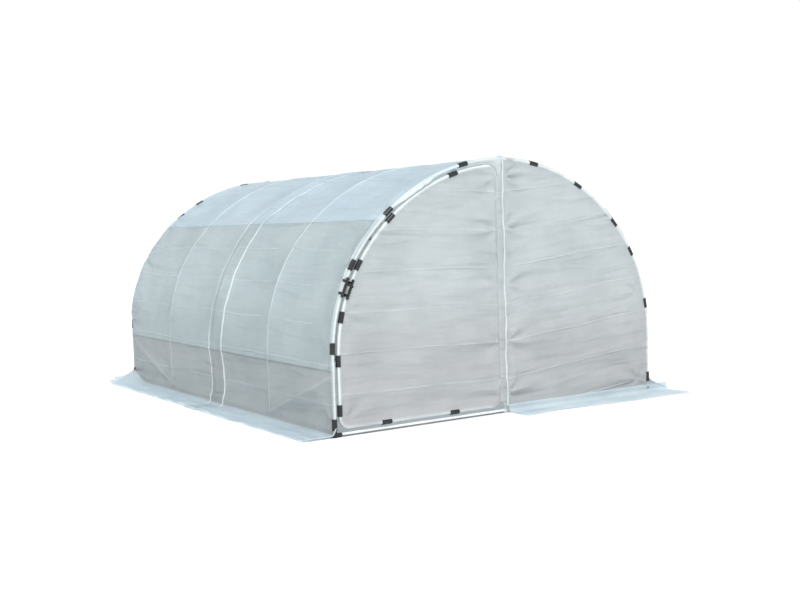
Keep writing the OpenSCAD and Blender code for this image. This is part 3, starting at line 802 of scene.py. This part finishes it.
def skirt_sheet(name, facing, x0, x1, seed):
    """An end skirt: down outside the base rail in a soft turn and out over the floor, wider at its right."""
    x = even([[x0], [x1]], 0.02)[:, 0]
    turn = 0.03
    a = np.linspace(0, math.pi / 2, 7)
    out = np.concatenate([[0, 0], turn * (1 - np.cos(a)), turn + np.linspace(0.012, SKIRT_W - turn + 0.01, 16)])
    up = np.concatenate([[0.06, 0.045], turn * (1 - np.sin(a)), np.zeros(16)])
    X, O = np.meshgrid(x, out, indexing="ij")
    spread = 1 + 0.42 * smooth(X, 0.0, 1.7) * (facing < 0)
    U = np.broadcast_to(up, X.shape)
    loose = smooth(O, turn, turn + 0.08)
    lift = 0.006 * np.maximum(0, 0.6 + ripple(X, O, seed, 6, 0.5, 0.6)) * loose
    edge = 0.010 * ripple(X, 0 * X, seed + 1, 5, 0.9, 1.0) * smooth(O, 0.06, SKIRT_W)
    Y = facing * (HALF_L + TUBE_R + 3 * FILM + np.where(O > turn, turn + (O - turn) * spread, O) + edge)
    points = np.stack([X, Y, U + lift + 0.0032], -1)
    # The whole skirt is drawn whiter as painted light on film that faces up; its hem at the edge is whiter
    # still from its layers.
    piece = grid_piece(name, points, np.stack([O + 0.06 - U, X], -1), flip=facing > 0, tone=0.0,
                       touch=0.4 + 0.45 * smooth(O, SKIRT_W - 0.02, SKIRT_W - 0.005))
    finish(piece, COVER)
    return piece


def build_skirts():
    """Skirts of the fixed half of the front and of the whole rear."""
    reach = HALF_W + TUBE_R + SKIRT_W
    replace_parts(skirt_sheet("skirt_front_sheet", -1, 0.02, reach, 71), "skirt_front")
    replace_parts(skirt_sheet("skirt_rear_sheet", 1, -reach, reach, 73), "skirt_rear")


def build_seam():
    """The welded seam down the centre post, wavy between the ties, and its short cord ties."""
    z = even([[0.05], [RIDGE_Z + 0.012]], 0.01)[:, 0]
    sway = 0.0045 * np.sin(z * 11.0) + 0.0022 * np.sin(z * 37.0 + 1)
    path = np.stack([sway, 0 * z - HALF_L - TUBE_R - 0.008, z], -1)
    bead = joined("seam_bead", [swept(path, 0.0065 + 0.001 * np.sin(z * 23), 8)])
    finish(bead, HEM)
    ties = []
    for tie in (TIES[0], TIES[1], TIES[3]):
        a = np.linspace(0, 2 * math.pi, 25)
        ring = np.stack([0.016 * np.cos(a), 0 * a - HALF_L - TUBE_R - 0.014, tie + 0.006 * np.sin(a)], -1)
        ties.append(swept(ring, 0.0018, 6))
    finish(joined("seam_ties", ties), HEM)


def build_flap():
    """The strip of film that bridges the hinge line, from the centre post to the door's stile."""
    z = even([[DOOR_Z + 0.03], [1.80]], 0.012)[:, 0]
    t = np.linspace(0, 1, 18)
    Z, T = np.meshgrid(z, t, indexing="ij")
    X = 0.004 - T * (STILE_X + 0.012)
    Y = -HALF_L - TUBE_R - 0.0058 + 0.002 * T
    middle = np.sin(math.pi * T)
    dimple = sum(crease(Z, tie, 0.014) for tie in TIES)
    Y = Y - middle * (0.003 + 0.0016 * np.sin(Z * 61 + 3 * T) + 0.0012 * np.sin(Z * 23) - 0.0035 * dimple)
    # Whiter over the stile where the film lies on it, partly painted highlight; darker towards the bottom as
    # painted shade.
    piece = grid_piece("hinge_flap", np.stack([X, Y, Z], -1), np.stack([Z, X], -1),
                       touch=0.05 + 0.15 * crease(T, 0.82, 0.1), tone=1 - smooth(Z, 0.35, 1.1))
    piece.data.materials.append(END)
    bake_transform(piece)


def build_gusset():
    """The film above the door's top corner: from the front arch to just short of the door's tube."""
    x = lines(0.0, 0.37, 0.011)
    clear = TUBE_R + 0.007
    corner_x = STILE_X + DOOR_CORNER_R
    corner_z = TOP_Z + math.sqrt((TOP_R - DOOR_GAP - DOOR_CORNER_R) ** 2 - corner_x ** 2)
    round_z = corner_z + np.sqrt(np.maximum((DOOR_CORNER_R + clear) ** 2 - (corner_x - x) ** 2, 0))
    arch_z = TOP_Z + np.sqrt((TOP_R + 0.004) ** 2 - x ** 2)
    low = np.where(x < corner_x, round_z, TOP_Z + np.sqrt((TOP_R - DOOR_GAP + clear) ** 2 - x ** 2))
    low = np.where(x > 0.30, low + (arch_z - low) * smooth(x, 0.30, 0.37) * 0.7, low)
    t = np.linspace(0, 1, 14)
    X, T = np.meshgrid(x, t, indexing="ij")
    Z = arch_z[:, None] + (low - arch_z)[:, None] * T
    out = TUBE_R + 2 * FILM + 0.002 - 0.008 * smooth(T, 0.2, 0.9)
    out = out + 0.003 * rays(X + 0.01, 1.93 - Z, 8, 0.4, 0.2)
    piece = grid_piece("apex_gusset", np.stack([-X, -HALF_L - out, Z], -1), np.stack([Z, X], -1), flip=True,
                       touch=0.55 - 0.3 * T, tone=0.0)
    finish(piece, END)


def build_loose_edge():
    """The cover's edge that has slipped out of the clips and hangs crumpled above the door's tube."""
    s = lines(0.60, 1.06, 0.009)
    t = np.linspace(0, 1, 12)
    S, T = np.meshgrid(s, t, indexing="ij")
    reach = (0.006 + 0.022 * smooth(S, 0.60, 0.74) * (1 - smooth(S, 0.90, 1.06)))
    x, z, nx, nz = arch_path(S, -T * reach)
    puff = np.sin(math.pi * T) * smooth(S, 0.6, 0.75) * (1 - smooth(S, 0.9, 1.06))
    out = TUBE_R + 2 * FILM + 0.003 - 0.004 * T + 0.012 * puff
    out = out + 0.004 * ripple(S, T * 0.05, 91, 8, 0.05, 0.05) * smooth(T, 0.1, 0.5)
    piece = grid_piece("loose_edge", np.stack([-x, -HALF_L - out, z], -1), np.stack([S, T * reach], -1),
                       flip=True, touch=0.75, tone=0.0)
    finish(piece, END)


# ---- stage ----

FLOOR_REACH, FLOOR_Z = 60.0, -0.001


def build_stage():
    """A pale floor, a white room, a wide soft sun above the door end and one weak lamp at the side."""
    scene = bpy.context.scene
    ends = (-FLOOR_REACH, FLOOR_REACH)
    floor = grid_piece("floor", np.array([[[x, y, FLOOR_Z] for y in ends] for x in ends]), flip=True)
    made, tree = new_material("matt white floor")
    surface = add(tree, "ShaderNodeBsdfPrincipled", {"Base Color": rgb("#FCFCFC"), "Roughness": 0.95,
                                                     "Specular IOR Level": 0.1})
    add(tree, "ShaderNodeOutputMaterial", {0: surface.outputs[0]})
    floor.data.materials.append(made)
    world = bpy.data.worlds.new("studio")
    world.use_nodes = True
    sky = world.node_tree.nodes["Background"]
    seen = world.node_tree.nodes.new("ShaderNodeLightPath").outputs["Is Camera Ray"]
    add(world.node_tree, "ShaderNodeOutputWorld", {0: add(world.node_tree, "ShaderNodeMixShader", {
        0: seen, 1: sky.outputs[0],
        2: add(world.node_tree, "ShaderNodeBackground", {0: rgb("#FFFFFF"), 1: 1.05}).outputs[0]}).outputs[0]})
    world.node_tree.nodes.remove(world.node_tree.nodes["World Output"])
    sky.inputs["Color"].default_value = rgb("#F6FAFE")
    sky.inputs["Strength"].default_value = 0.78
    scene.world = world
    scene.view_settings.view_transform = "Standard"
    for name, toward, strength, angle, code in (("key", (-0.10, -0.62, 0.78), 2.1, 26, "#FFFFFF"),
                                                ("side", (-0.85, -0.25, 0.45), 0.65, 50, "#F7FBFF")):
        lamp = bpy.data.lights.new(name, "SUN")
        lamp.energy, lamp.angle, lamp.color = strength, math.radians(angle), rgb(code)[:3]
        stand = bpy.data.objects.new(name, lamp)
        stand.rotation_euler = (-Vector(toward)).to_track_quat("-Z", "Y").to_euler()
        stand.location = Vector(toward) * 10
        scene.collection.objects.link(stand)


def build_camera():
    """Camera at head height, turned 33 degrees to the door's side of the front."""
    yaw, pitch, roll = math.radians(-33.2), math.radians(3.85), math.radians(-1.71)
    target, distance = Vector((0.337, 0.0, 0.7635)), 10.30
    back = Vector((math.sin(yaw) * math.cos(pitch), -math.cos(yaw) * math.cos(pitch), math.sin(pitch)))
    lens = bpy.data.cameras.new("camera")
    lens.sensor_width, lens.lens = 36.0, 50.2
    camera = bpy.data.objects.new("camera", lens)
    turn = (-back).to_track_quat("-Z", "Y").to_matrix().to_4x4() @ Matrix.Rotation(roll, 4, "Z")
    camera.matrix_world = Matrix.Translation(target + back * distance) @ turn
    bpy.context.scene.collection.objects.link(camera)
    bpy.context.scene.camera = camera


build_camera()
build_stage()
paint_frame()
build_cover()
build_ends()
build_skirts()
build_seam()
build_flap()
build_gusset()
build_loose_edge()

bpy.context.view_layer.update()
